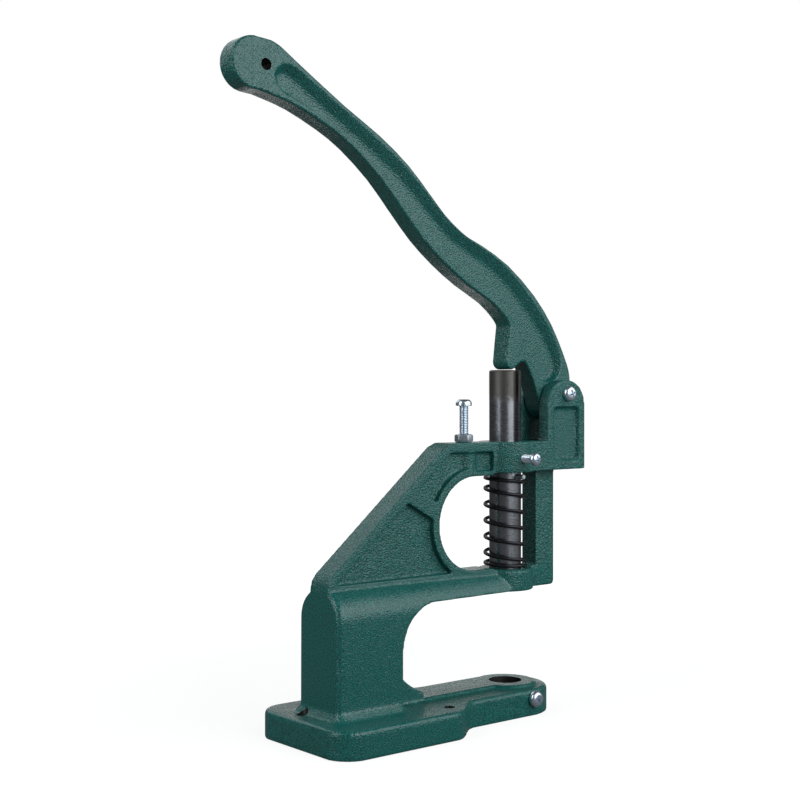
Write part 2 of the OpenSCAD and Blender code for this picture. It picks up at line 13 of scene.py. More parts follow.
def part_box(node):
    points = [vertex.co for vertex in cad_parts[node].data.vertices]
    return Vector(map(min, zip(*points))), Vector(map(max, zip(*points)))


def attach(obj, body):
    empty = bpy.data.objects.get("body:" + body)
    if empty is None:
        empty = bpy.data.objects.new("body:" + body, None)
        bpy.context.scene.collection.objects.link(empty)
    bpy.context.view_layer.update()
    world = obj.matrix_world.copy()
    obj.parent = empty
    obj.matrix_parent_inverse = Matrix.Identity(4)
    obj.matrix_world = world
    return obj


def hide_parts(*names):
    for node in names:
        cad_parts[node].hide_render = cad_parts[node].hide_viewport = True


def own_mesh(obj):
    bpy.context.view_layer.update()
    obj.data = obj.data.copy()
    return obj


bl_info = {
    "name": "Snap Button Press",
    "version": (1, 0, 0),
    "blender": (4, 5, 0),
    "location": "3D View > Sidebar > Press",
    "description": "Builds the castings, screws, spring and finishes of a hand press",
    "category": "Object",
}

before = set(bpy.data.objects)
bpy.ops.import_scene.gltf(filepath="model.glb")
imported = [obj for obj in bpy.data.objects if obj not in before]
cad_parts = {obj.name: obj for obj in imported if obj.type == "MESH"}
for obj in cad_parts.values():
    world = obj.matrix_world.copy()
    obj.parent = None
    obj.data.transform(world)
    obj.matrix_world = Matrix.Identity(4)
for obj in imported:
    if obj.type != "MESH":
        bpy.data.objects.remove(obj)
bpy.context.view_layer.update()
MM = 0.001


def linear(hex_colour):
    """An sRGB hex colour as linear red, green and blue."""
    parts = [int(hex_colour[i:i + 2], 16) / 255 for i in (1, 3, 5)]
    return [c / 12.92 if c <= 0.04045 else ((c + 0.055) / 1.055) ** 2.4 for c in parts]


# ---- Settings that a user would change

def size(label, words, default):
    return FloatProperty(name=label, description=words, default=default, min=0, max=1,
                         unit="LENGTH", precision=5)


def colour(label, words, hex_colour):
    return FloatVectorProperty(name=label, description=words, default=linear(hex_colour),
                               size=3, subtype="COLOR", min=0, max=1)


def count(label, words, default, low, high):
    return IntProperty(name=label, description=words, default=default, min=low, max=high)


def watts(label, words, default):
    return FloatProperty(name=label, description=words, default=default, min=0, max=200,
                         unit="POWER")


def share(label, words, default):
    return FloatProperty(name=label, description=words, default=default, min=0, max=1,
                         subtype="FACTOR")


class CastingSettings(PropertyGroup):
    voxel: size("Grain of the casting", "Size of the steps that round the cast edges", 0.75 * MM)
    lever_voxel: size("Grain of the lever", "Size of the steps that round the lever's edges",
                      0.6 * MM)
    rounding: count("Rounding", "Smoothing passes over the casting's edges", 5, low=0, high=30)
    lever_rounding: count("Rounding of the lever", "Smoothing passes over the lever's edges",
                          3, low=0, high=30)
    faces: count("Triangles", "Most triangles of one casting", 180000, low=20000, high=195000)


class ScrewSettings(PropertyGroup):
    pitch: size("Thread pitch", "Rise of one thread turn of the larger screws", 1.0 * MM)
    guide_pitch: size("Guide screw pitch", "Rise of one thread turn of the guide screw", 0.8 * MM)
    recess: size("Cross recess", "Width of each wing of the cross in the screw heads", 1.1 * MM)


class SpringSettings(PropertyGroup):
    wire: size("Wire", "Diameter of the spring wire", 2.2 * MM)
    radius: size("Mean radius", "Radius of the middle of the wire", 12.6 * MM)
    turns: FloatProperty(name="Turns", description="Number of turns with the closed ends",
                         default=6.5, min=3, max=9)
    end_pitch: size("End pitch", "Rise of the closed turn at the lower end", 2.9 * MM)
    settle: size("Settling rise", "Rise from the last full turn up to the cross pin", 5.0 * MM)
    tail: size("Tail rise", "Rise of the wire's end beyond the cross pin", 1.7 * MM)


class FinishSettings(PropertyGroup):
    enamel: colour("Enamel", "Stoved enamel on the castings", "#1d655f")
    # Enamel in hollows: a darker colour painted between the pebbles as their shade
    enamel_painted_shade: colour("Enamel in hollows", "The same enamel where it lies thick", "#134a45")
    steel: colour("Ground steel", "Bare steel of the plunger", "#8e8f94")
    burnt: colour("Darkened steel", "Upper end of the plunger", "#64625f")
    wire: colour("Oiled wire", "Black spring wire", "#2a2a2d")
    # Bored iron: bare iron in the holes, made dark grey as painted shade inside them
    bore: colour("Bored iron", "Bare cast iron in the drilled holes", "#3a3836")
    zinc: colour("Zinc plate", "Bright zinc on the screws", "#d8e2ec")


class StageSettings(PropertyGroup):
    floor: colour("Floor", "Paper floor, which its own glow lifts to white", "#7c7c7c")
    paper_glow: share("Paper glow", "What the camera sees of the paper beside its light", 0.86)
    key_power: watts("Key light", "Power of the large light before the press", 9.6)
    left_power: watts("Left light", "Power of the light at the column's back", 7.0)
    right_power: watts("Right light", "Power of the high light at the right", 5.4)
    back_power: watts("Back light", "Power of the high light behind the press", 2.6)
    room: share("Room", "Brightness of the room behind the camera", 0.10)
    haze: share("Even light", "Even light on matt surfaces from all sides", 0.18)


def settings(name):
    return getattr(bpy.context.scene, "press_" + name)


# ---- Nodes and materials

def add(tree, kind, inputs=None, **values):
    """Adds a node, sets its values and fills its inputs.

    An input takes a plain value, a socket, or a node, which gives its first live output."""
    node = tree.nodes.new(kind)
    for name, value in values.items():
        setattr(node, name, value)
    for key, value in (inputs or {}).items():
        if isinstance(value, Node):
            value = next(output for output in value.outputs if output.enabled)
        if isinstance(value, NodeSocket):
            tree.links.new(value, node.inputs[key])
        else:
            node.inputs[key].default_value = value
    return node


def with_alpha(rgb):
    return [*rgb, 1.0]


def new_material(name):
    """An empty material; returns it with its tree and the place of the shaded point."""
    material = bpy.data.materials.new(name)
    material.use_nodes = True
    tree = material.node_tree
    tree.nodes.clear()
    return material, tree, add(tree, "ShaderNodeTexCoord").outputs["Object"]


def end_material(tree, looks):
    """Ends a material in one shader with the given looks."""
    shader = add(tree, "ShaderNodeBsdfPrincipled", looks)
    add(tree, "ShaderNodeOutputMaterial", {"Surface": shader})


def per_mm(step):
    """Texture scale whose pattern repeats about every given number of millimetres."""
    return 1 / (step * MM)


def hammertone_enamel(name, pebble, depth, fine_below=None):
    """Stoved hammertone enamel on rough cast iron: a glossy skin over small round pebbles.

    The pebbles catch the light as speckles, and their colour is painted too: lighter on their
    tops as painted highlight, darker between them as painted shade. Below the height fine_below
    the skin is smoother."""
    finish = settings("finish")
    material, tree, place = new_material(name)
    pebbles = add(tree, "ShaderNodeTexNoise", {
        "Vector": place, "Scale": per_mm(pebble), "Detail": 0.5, "Roughness": 0.5})
    # The sand mould leaves swells about 9 mm wide
    swell = add(tree, "ShaderNodeTexNoise", {
        "Vector": place, "Scale": per_mm(9), "Detail": 2.0, "Roughness": 0.5})
    # Painted highlight and shade: the enamel is coloured lighter on the pebbles' tops and darker
    # between them
    painted_light_on_pebbles = add(tree, "ShaderNodeMapRange", {
        "Value": pebbles, "From Min": 0.36, "From Max": 0.6})
    tone = add(tree, "ShaderNodeMix", {
        "Factor": painted_light_on_pebbles, "A": with_alpha(finish.enamel_painted_shade), "B": with_alpha(finish.enamel)},
        data_type="RGBA")
    gloss = add(tree, "ShaderNodeMapRange", {
        "Value": swell, "From Min": 0.3, "From Max": 0.7, "To Min": 0.15, "To Max": 0.22})
    height = pebbles
    if fine_below is not None:
        rise = add(tree, "ShaderNodeSeparateXYZ", {"Vector": place}).outputs["Z"]
        coarse = add(tree, "ShaderNodeMapRange", {
            "Value": rise, "From Min": fine_below - 4 * MM, "From Max": fine_below + 4 * MM,
            "To Min": 0.4, "To Max": 1.0})
        height = add(tree, "ShaderNodeMath", {0: pebbles, 1: coarse}, operation="MULTIPLY")
    small = add(tree, "ShaderNodeBump", {"Height": height, "Strength": 1.0, "Distance": depth})
    broad = add(tree, "ShaderNodeBump", {
        "Height": swell, "Strength": 1.0, "Distance": 0.35 * MM, "Normal": small})
    end_material(tree, {"Base Color": tone, "Roughness": gloss, "Normal": broad, "IOR": 1.5})
    return material


def ground_steel():
    """Cylindrically ground bare steel: fine rings round the bar, and a heat-darkened upper end.

    Real grinding rings are finer than 0.1 mm. They are drawn 0.5 mm wide so that they show."""
    finish = settings("finish")
    material, tree, place = new_material("ground_steel_bar")
    rise = add(tree, "ShaderNodeSeparateXYZ", {"Vector": place}).outputs["Z"]
    drawn_out = add(tree, "ShaderNodeMapping", {"Vector": place, "Scale": (0.08, 0.08, 1.0)})
    rings = add(tree, "ShaderNodeTexNoise", {
        "Vector": drawn_out, "Scale": per_mm(0.5), "Detail": 3.0, "Roughness": 0.6})
    blotch = add(tree, "ShaderNodeTexNoise", {
        "Vector": place, "Scale": per_mm(3.5), "Detail": 4.0, "Roughness": 0.65})
    specks = add(tree, "ShaderNodeTexNoise", {
        "Vector": place, "Scale": per_mm(1.1), "Detail": 1.0})
    clean = add(tree, "ShaderNodeMapRange", {
        "Value": specks, "From Min": 0.27, "From Max": 0.33, "To Min": 0.45, "To Max": 1.0})
    # The blotches make the edge of the darkened end ragged
    ragged = add(tree, "ShaderNodeMath", {0: blotch, 1: 14 * MM, 2: rise},
                 operation="MULTIPLY_ADD")
    burnt = add(tree, "ShaderNodeMapRange", {
        "Value": ragged, "From Min": 198 * MM, "From Max": 203 * MM})
    tone = add(tree, "ShaderNodeMix", {
        "Factor": burnt, "A": with_alpha(finish.steel), "B": with_alpha(finish.burnt)},
        data_type="RGBA")
    spotted = add(tree, "ShaderNodeMix", {"Factor": 1.0, "A": tone, "B": clean},
                  data_type="RGBA", blend_type="MULTIPLY")
    gloss = add(tree, "ShaderNodeMapRange", {
        "Value": rings, "From Min": 0.3, "From Max": 0.7, "To Min": 0.24, "To Max": 0.36})
    # The darkened end is duller
    dulled = add(tree, "ShaderNodeMath", {0: burnt, 1: 0.2, 2: gloss}, operation="MULTIPLY_ADD")
    bump = add(tree, "ShaderNodeBump", {
        "Height": rings, "Strength": 0.18, "Distance": 0.02 * MM})
    end_material(tree, {
        "Base Color": spotted, "Roughness": dulled, "Normal": bump, "Metallic": 1.0})
    return material


def oiled_wire():
    """Hard-drawn spring wire, blackened and oiled: a dark sheen with faint draw marks."""
    material, tree, place = new_material("black_oiled_spring_wire")
    marks = add(tree, "ShaderNodeTexNoise", {
        "Vector": place, "Scale": per_mm(0.9), "Detail": 3.0})
    gloss = add(tree, "ShaderNodeMapRange", {
        "Value": marks, "From Min": 0.3, "From Max": 0.7, "To Min": 0.28, "To Max": 0.42})
    end_material(tree, {
        "Base Color": with_alpha(settings("finish").wire), "Roughness": gloss, "Metallic": 0.7})
    return material


def bored_iron_and_painted_shade():
    """Bare cast iron in a bored hole, dull and slightly oily; its dark grey is partly painted
    shade inside the hole.
    """
    material, tree, place = new_material("bored_cast_iron_and_painted_shade")
    marks = add(tree, "ShaderNodeTexNoise", {
        "Vector": place, "Scale": per_mm(1.2), "Detail": 2.0})
    gloss = add(tree, "ShaderNodeMapRange", {
        "Value": marks, "From Min": 0.3, "From Max": 0.7, "To Min": 0.40, "To Max": 0.55})
    end_material(tree, {
        "Base Color": with_alpha(settings("finish").bore), "Roughness": gloss, "Metallic": 0.8})
    return material


def zinc_plate(name, roughness):
    """Bright blue-passivated zinc on steel: a bluish mirror with a slight orange peel."""
    material, tree, place = new_material(name)
    peel = add(tree, "ShaderNodeTexNoise", {
        "Vector": place, "Scale": per_mm(0.7), "Detail": 2.0})
    gloss = add(tree, "ShaderNodeMapRange", {
        "Value": peel, "From Min": 0.3, "From Max": 0.7,
        "To Min": roughness - 0.05, "To Max": roughness + 0.08})
    bump = add(tree, "ShaderNodeBump", {
        "Height": peel, "Strength": 0.4, "Distance": 0.03 * MM})
    end_material(tree, {
        "Base Color": with_alpha(settings("finish").zinc), "Roughness": gloss, "Normal": bump,
        "Metallic": 1.0})
    return material


# ---- Meshes

def mesh_from(work, name):
    mesh = bpy.data.meshes.new(name)
    work.to_mesh(mesh)
    work.free()
    return mesh


def object_from(mesh, name):
    piece = bpy.data.objects.new(name, mesh)
    bpy.context.scene.collection.objects.link(piece)
    return piece


def join(piece, others):
    with bpy.context.temp_override(active_object=piece,
                                   selected_editable_objects=[piece, *others]):
        bpy.ops.object.join()


def baked(piece):
    """Turns a piece's modifiers into a plain mesh."""
    view = bpy.context.evaluated_depsgraph_get()
    mesh = bpy.data.meshes.new_from_object(piece.evaluated_get(view))
    piece.modifiers.clear()
    old = piece.data
    piece.data = mesh
    bpy.data.meshes.remove(old)
    return piece


def carve(piece, tool, solver, tangled=False):
    """Cuts the tool's shape out of a piece, and removes the tool."""
    cut = piece.modifiers.new("Cut", "BOOLEAN")
    cut.operation = "DIFFERENCE"
    cut.solver = solver
    cut.use_self = tangled
    cut.object = tool
    baked(piece)
    bpy.data.objects.remove(tool)


def shade(piece, crease):
    """Shades a piece smoothly, apart from the edges that are sharper than crease in degrees."""
    mesh = piece.data
    mesh.polygons.foreach_set("use_smooth", [True] * len(mesh.polygons))
    mesh.set_sharp_from_angle(angle=math.radians(crease))


def merged_copy(node, name):
    """A copy of a solid's mesh with its loose triangles joined."""
    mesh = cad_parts[node].data.copy()
    work = bmesh.new()
    work.from_mesh(mesh)
    bmesh.ops.remove_doubles(work, verts=work.verts, dist=0.002 * MM)
    work.to_mesh(mesh)
    work.free()
    mesh.materials.clear()
    for label in [a.name for a in mesh.attributes if a.name.startswith("custom_normal")]:
        mesh.attributes.remove(mesh.attributes[label])
    return object_from(mesh, name)


def rods(name, runs):
    """Closed cylinders, each given as its radius, start and end in millimetres."""
    work = bmesh.new()
    for radius, start, end in runs:
        start, end = Vector(start) * MM, Vector(end) * MM
        run = end - start
        turn = run.to_track_quat("Z", "Y").to_matrix().to_4x4()
        bmesh.ops.create_cone(
            work, cap_ends=True, segments=64, radius1=radius * MM, radius2=radius * MM,
            depth=run.length, matrix=Matrix.Translation((start + end) / 2) @ turn)
    return object_from(mesh_from(work, name), name)


def cast_piece(node, name, voxel, rounding, plugs, drills):
    """Rounds a solid's edges as casting does, then drills its holes again with crisp rims.

    Plugs fill the holes while the edges are rounded."""
    most = settings("casting").faces
    piece = merged_copy(node, name)
    join(piece, [rods("plugs", plugs)])
    remesh = piece.modifiers.new("Cast skin", "REMESH")
    remesh.mode = "VOXEL"
    remesh.voxel_size = voxel * 1
    smooth = piece.modifiers.new("Rounding", "SMOOTH")
    smooth.factor = 0.5
    smooth.iterations = rounding
    baked(piece)
    triangles = sum(len(p.vertices) - 2 for p in piece.data.polygons)
    if triangles > most:
        fewer = piece.modifiers.new("Fewer faces", "DECIMATE")
        fewer.ratio = most / triangles
        baked(piece)
    carve(piece, rods("drills", drills), "MANIFOLD")
    shade(piece, crease=38)
    return piece


def mark_bores(piece, drills):
    # The second material is bare iron darkened as painted shade inside the holes
    """Gives the walls of the drilled holes the piece's second material."""
    slack = 0.02  # mm
    faces = piece.data.polygons
    centres = np.empty(3 * len(faces))
    faces.foreach_get("center", centres)
    centres = centres.reshape(-1, 3) / MM
    bored = np.zeros(len(faces), dtype=bool)
    for radius, start, end in drills:
        length = math.dist(start, end)
        run = np.subtract(end, start) / length
        away = np.linalg.norm(np.cross(centres - start, run), axis=1)
        along = (centres - start) @ run
        bored |= (away < radius + slack) & (along > 0) & (along < length)
    faces.foreach_set("material_index", bored.astype(int))


def finish_piece(piece, materials, body, node):
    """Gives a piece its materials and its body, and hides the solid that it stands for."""
    piece.data.materials.clear()
    for material in materials:
        piece.data.materials.append(material)
    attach(piece, body)
    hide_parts(node)


# Sizes and places on the press, in millimetres, as the solids have them. A bore is a radius.
M6, M5 = 6.0, 5.0
M6_BORE, M5_BORE = 3.05, 2.55
GUIDE = {"bore": 10.05, "low": 75.2, "seat": 88.5, "under": 148.2, "top": 167.4}
DIE_HOLE = {"bore": 10.25, "top": 17.9}
FOOT = {"bore": 3.25, "top": 16.1}
FOOT_HOLES = [(-72, -29), (-72, 29), (-148.5, 10)]
STOP = {"x": -34.8, "under": 148.5, "head": 189.7}
PIVOT = {"x": 40.4, "z": 197.1}
EAR = {"inside": 7.4, "outside": 15.75}
CLAMP = {"z": 10.4, "side": 25.2, "head": 26.2}
GUIDE_SCREW = {"z": 157.0, "side": 16.8, "head": 26.0}
LEVER_HALF = 6.8
HANDLE = {"bore": 3.3, "x": -184.2, "z": 375.5}


class PRESS_OT_casting(Operator):
    """Makes the base, column, web and hinge ears: one casting with rounded edges and holes"""

    bl_idname = "press.casting"
    bl_label = "Frame casting"

    def execute(self, context):
        def up(x, y, low, high):
            return (x, y, low), (x, y, high)

        def across(x, z, near, far):
            return (x, near, z), (x, far, z)

        # Each plug reaches about half a millimetre into the metal round its hole. Those from the
        # side end 8 mm from the middle, inside the upright ones.
        plugs = [
            (GUIDE["bore"] + 0.6, *up(0, 0, GUIDE["low"], GUIDE["seat"])),
            (GUIDE["bore"] + 0.6, *up(0, 0, GUIDE["under"], GUIDE["top"])),
            (DIE_HOLE["bore"] + 0.65, *up(0, 0, 0, DIE_HOLE["top"])),
            (M6_BORE + 0.55, *up(STOP["x"], 0, STOP["under"], GUIDE["top"])),
            (M6_BORE + 0.55, *across(0, CLAMP["z"], -CLAMP["side"], -8)),
            (M5_BORE + 0.45, *across(0, GUIDE_SCREW["z"], -GUIDE_SCREW["side"], -8)),
            (M6_BORE + 0.55, *across(PIVOT["x"], PIVOT["z"], -EAR["outside"], -EAR["inside"])),
            (M6_BORE + 0.55, *across(PIVOT["x"], PIVOT["z"], EAR["inside"], EAR["outside"]))]
        plugs += [(FOOT["bore"] + 0.55, *up(x, y, 0, FOOT["top"])) for x, y in FOOT_HOLES]
        # Each drill starts and ends outside the metal, or in the hole that it meets
        drills = [
            (GUIDE["bore"], *up(0, 0, 70, 95)),
            (GUIDE["bore"], *up(0, 0, 140, 180)),
            (DIE_HOLE["bore"], *up(0, 0, -5, 25)),
            (M6_BORE, *up(STOP["x"], 0, 140, 180)),
            (M6_BORE, *across(0, CLAMP["z"], -40, -5)),
            (M5_BORE, *across(0, GUIDE_SCREW["z"], -30, -5)),
            (M6_BORE, *across(PIVOT["x"], PIVOT["z"], -30, 30))]
        drills += [(FOOT["bore"], *up(x, y, -5, 25)) for x, y in FOOT_HOLES]
        cast = settings("casting")
        piece = cast_piece("frame_casting", "frame_casting_enamelled", cast.voxel, cast.rounding,
                           plugs, drills)
        enamel = hammertone_enamel("hammertone_enamel_on_cast_iron", pebble=0.85,
                                   depth=0.8 * MM, fine_below=88 * MM)
        finish_piece(piece, [enamel, bored_iron_and_painted_shade()], "frame", "frame_casting")
        mark_bores(piece, drills)
        return {"FINISHED"}


class PRESS_OT_lever(Operator):
    """Makes the long curved lever with its recesses and the nose that presses the plunger"""

    bl_idname = "press.lever"
    bl_label = "Lever"

    def execute(self, context):
        def through(place, half):
            return (place["x"], -half, place["z"]), (place["x"], half, place["z"])

        plugs = [(M6_BORE + 0.55, *through(PIVOT, LEVER_HALF)),
                 (HANDLE["bore"] + 0.5, *through(HANDLE, LEVER_HALF))]
        drills = [(M6_BORE, *through(PIVOT, 20)), (HANDLE["bore"], *through(HANDLE, 20))]
        cast = settings("casting")
        piece = cast_piece("lever", "lever_enamelled", cast.lever_voxel, cast.lever_rounding,
                           plugs, drills)
        enamel = hammertone_enamel("hammertone_enamel_on_lever", pebble=0.85, depth=0.5 * MM)
        finish_piece(piece, [enamel, bored_iron_and_painted_shade()], "lever", "lever")
        mark_bores(piece, drills)
        return {"FINISHED"}


class PRESS_OT_plunger(Operator):
    """Makes the ground plunger and the cross pin that the spring pushes against"""

    bl_idname = "press.plunger"
    bl_label = "Plunger and cross pin"

    def execute(self, context):
        bar = merged_copy("plunger", "plunger_ground")
        shade(bar, crease=30)
        finish_piece(bar, [ground_steel()], "plunger", "plunger")
        pin = merged_copy("spring_pin", "spring_pin_plated")
        shade(pin, crease=30)
        plate = zinc_plate("zinc_plated_pin", roughness=0.3)
        finish_piece(pin, [plate], "plunger", "spring_pin")
        return {"FINISHED"}


def tree_with(name, inputs):
    """An empty Geometry Nodes tree; returns it with its inputs, which are found by name."""
    tree = bpy.data.node_groups.new(name, "GeometryNodeTree")
    tree.interface.new_socket("Geometry", in_out="OUTPUT", socket_type="NodeSocketGeometry")
    for label, kind, value in inputs:
        socket = tree.interface.new_socket(label, in_out="INPUT", socket_type="NodeSocket" + kind)
        socket.default_value = value
    return tree, add(tree, "NodeGroupInput").outputs


def close_tree(tree, geometry, material):
    """Ends a tree in real geometry with its material."""
    real = add(tree, "GeometryNodeRealizeInstances", {"Geometry": geometry})
    coated = add(tree, "GeometryNodeSetMaterial", {"Geometry": real, "Material": material})
    add(tree, "NodeGroupOutput", {"Geometry": coated})


def grow(name, tree, values):
    """Makes a piece from a Geometry Nodes tree with the given input values."""
    piece = object_from(bpy.data.meshes.new(name), name)
    modifier = piece.modifiers.new("Grow", "NODES")
    modifier.node_group = tree
    for item in tree.interface.items_tree:
        if item.item_type == "SOCKET" and item.in_out == "INPUT" and item.name in values:
            modifier[item.identifier] = values[item.name]
    return baked(piece)


def coil_tree(material):
    """A left-handed coil: one closed turn below, and an end that runs up past the cross pin."""
    past_pin = 0.36  # turns of wire beyond the pin
    tree, size_of = tree_with("Wound coil", [
        ("Wire", "Float", 0.0022), ("Radius", "Float", 0.0126), ("Turns", "Float", 6.5),
        ("End Pitch", "Float", 0.0029), ("Settle", "Float", 0.005), ("Tail", "Float", 0.0017),
        ("Low", "Float", 0.0), ("High", "Float", 0.05), ("Start", "Float", 0.0),
        ("Steps", "Int", 600)])
    line = add(tree, "GeometryNodeMeshLine", {"Count": size_of["Steps"]})
    index = add(tree, "GeometryNodeInputIndex")
    last = add(tree, "ShaderNodeMath", {0: size_of["Steps"], 1: 1.0}, operation="SUBTRACT")
    done = add(tree, "ShaderNodeMath", {0: index, 1: last}, operation="DIVIDE")
    turn = add(tree, "ShaderNodeMath", {0: done, 1: size_of["Turns"]}, operation="MULTIPLY")
    swept = add(tree, "ShaderNodeMath", {0: turn, 1: math.tau}, operation="MULTIPLY")
    angle = add(tree, "ShaderNodeMath", {0: size_of["Start"], 1: swept}, operation="SUBTRACT")
    slowing = add(tree, "ShaderNodeMath", {0: size_of["Turns"], 1: 1.0}, operation="SUBTRACT")
    at_pin = add(tree, "ShaderNodeMath", {0: size_of["Turns"], 1: past_pin},
                 operation="SUBTRACT")
    open_rise = size_of["High"]
    for other in ("Tail", "Low", "End Pitch", "Settle"):
        open_rise = add(tree, "ShaderNodeMath", {0: open_rise, 1: size_of[other]},
                        operation="SUBTRACT")
    # Each stretch of turns adds its own share of the rise
    rise = size_of["Low"]
    for start, end, gain in ((0.0, 1.0, size_of["End Pitch"]), (1.0, slowing, open_rise),
                             (slowing, at_pin, size_of["Settle"]),
                             (at_pin, size_of["Turns"], size_of["Tail"])):
        part = add(tree, "ShaderNodeMapRange", {
            "Value": turn, "From Min": start, "From Max": end, "To Max": gain})
        rise = add(tree, "ShaderNodeMath", {0: rise, 1: part}, operation="ADD")
    cosine = add(tree, "ShaderNodeMath", {0: angle}, operation="COSINE")
    sine = add(tree, "ShaderNodeMath", {0: angle}, operation="SINE")
    place = add(tree, "ShaderNodeCombineXYZ", {
        "X": add(tree, "ShaderNodeMath", {0: cosine, 1: size_of["Radius"]}, operation="MULTIPLY"),
        "Y": add(tree, "ShaderNodeMath", {0: sine, 1: size_of["Radius"]}, operation="MULTIPLY"),
        "Z": rise})
    wound = add(tree, "GeometryNodeSetPosition", {"Geometry": line, "Position": place})
    path = add(tree, "GeometryNodeMeshToCurve", {"Mesh": wound})
    half_wire = add(tree, "ShaderNodeMath", {0: size_of["Wire"], 1: 0.5}, operation="MULTIPLY")
    ring = add(tree, "GeometryNodeCurvePrimitiveCircle", {"Resolution": 16, "Radius": half_wire})
    wire = add(tree, "GeometryNodeCurveToMesh", {
        "Curve": path, "Profile Curve": ring, "Fill Caps": True})
    close_tree(tree, wire, material)
    return tree


class PRESS_OT_spring(Operator):
    """Winds the black return spring between the lower guide and the cross pin"""

    bl_idname = "press.spring"
    bl_label = "Return spring"

    def execute(self, context):
        spring = settings("spring")
        low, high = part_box("return_spring")
        material = oiled_wire()
        piece = grow("return_spring_wound", coil_tree(material), {
            "Wire": spring.wire, "Radius": spring.radius, "Turns": spring.turns,
            "End Pitch": spring.end_pitch, "Settle": spring.settle, "Tail": spring.tail,
            "Low": low.z + spring.wire / 2, "High": high.z - spring.wire / 2,
            "Start": math.radians(320.6), "Steps": 480})
        shade(piece, crease=60)
        finish_piece(piece, [material], "frame", "return_spring")
        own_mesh(piece)
        return {"FINISHED"}


def thread_tree(material):
    """A screw thread: a wedge wound round a core, pointing down from height 0."""
    # Depth of the thread, and half the width of the ridge at its root, in pitches
    deep, half_root = 0.58, 0.47
    tree, size_of = tree_with("Screw thread", [
        ("Radius", "Float", 0.003), ("Pitch", "Float", 0.001), ("Length", "Float", 0.02)])
    depth = add(tree, "ShaderNodeMath", {0: size_of["Pitch"], 1: deep}, operation="MULTIPLY")
    core_r = add(tree, "ShaderNodeMath", {0: size_of["Radius"], 1: depth}, operation="SUBTRACT")
    turns = add(tree, "ShaderNodeMath", {0: size_of["Length"], 1: size_of["Pitch"]},
                operation="DIVIDE")
    helix = add(tree, "GeometryNodeCurveSpiral", {
        "Resolution": 24, "Rotations": turns, "Start Radius": core_r, "End Radius": core_r,
        "Height": size_of["Length"], "Reverse": True})
    upright = add(tree, "GeometryNodeSetCurveNormal", {"Curve": helix}, mode="Z_UP")
    root = add(tree, "ShaderNodeMath", {0: size_of["Pitch"], 1: half_root}, operation="MULTIPLY")
    # Half of the kite's width is sunk in the core
    width = add(tree, "ShaderNodeMath", {0: depth, 1: 2.0}, operation="MULTIPLY")
    wedge = add(tree, "GeometryNodeCurvePrimitiveQuadrilateral", {
        "Width": width, "Bottom Height": root, "Top Height": root}, mode="KITE")
    ridge = add(tree, "GeometryNodeCurveToMesh", {
        "Curve": upright, "Profile Curve": wedge, "Fill Caps": True})
    core = add(tree, "GeometryNodeMeshCylinder", {
        "Vertices": 32, "Radius": core_r, "Depth": size_of["Length"]}, fill_type="NGON")
    # The ridge grows up from height 0, and the core reaches half its length above and below it
    both = add(tree, "GeometryNodeJoinGeometry")
    for part, lowered in ((ridge, -1.0), (core, -0.5)):
        drop = add(tree, "ShaderNodeMath", {0: size_of["Length"], 1: lowered},
                   operation="MULTIPLY")
        moved = add(tree, "GeometryNodeTransform", {
            "Geometry": part, "Translation": add(tree, "ShaderNodeCombineXYZ", {"Z": drop})})
        tree.links.new(moved.outputs[0], both.inputs[0])
    close_tree(tree, both, material)
    return tree


def lathe(name, profile, sides=64):
    """Turns a profile of (radius, height) points, in millimetres, about the upright axis."""
    work = bmesh.new()
    rings = []
    for radius, height in profile:
        angles = [math.tau * k / sides for k in range(sides)] if radius else [0]
        rings.append([work.verts.new((radius * MM * math.cos(a), radius * MM * math.sin(a),
                                      height * MM)) for a in angles])
    for lower, upper in zip(rings, rings[1:]):
        for k in range(sides):
            n = (k + 1) % sides
            if len(lower) == 1:
                work.faces.new((lower[0], upper[n], upper[k]))
            elif len(upper) == 1:
                work.faces.new((lower[k], lower[n], upper[0]))
            else:
                work.faces.new((lower[k], lower[n], upper[n], upper[k]))
    bmesh.ops.recalc_face_normals(work, faces=work.faces)
    return mesh_from(work, name)


def cross_tool(radius, tall, wing):
    """The shape of the cross recess in a head of the given radius and height."""
    # Length in heads, width in wings and height in heads, at the floor and at the mouth
    floor, mouth = (0.30, 0.7, 0.42), (0.62, 1.15, 1.2)
    turned = 20  # degrees, so that the cross isn't square to the press
    work = bmesh.new()
    for quarter in (0, 90):
        box = bmesh.ops.create_cube(work, size=1.0)["verts"]
        for v in box:
            long, wide, high = floor if v.co.z < 0 else mouth
            v.co = Vector((v.co.x * 2 * radius * long, v.co.y * wing * wide, tall * high)) * MM
        bmesh.ops.rotate(work, verts=box,
                         matrix=Matrix.Rotation(math.radians(quarter + turned), 3, "Z"))
    return object_from(mesh_from(work, "cross"), "cross")


def screw_head(name, thread):
    """A pan head with a cross recess for a thread diameter, its underside at height 0."""
    radius, tall = 1.65 * thread / 2, 0.66 * thread
    crown, rim = 2.6, 0.25  # rounding above and below
    arc = [(radius - crown + crown * math.sin(math.radians(a)),
            tall - crown + crown * math.cos(math.radians(a)))
           for a in (90, 78, 66, 54, 42, 30, 18, 8)]
    head = object_from(lathe(name, [(0, 0), (radius - rim, 0), (radius, rim), *arc,
                                    (radius * 0.25, tall), (0, tall)]), name)
    carve(head, cross_tool(radius, tall, settings("screws").recess / MM), "EXACT", tangled=True)
    return head


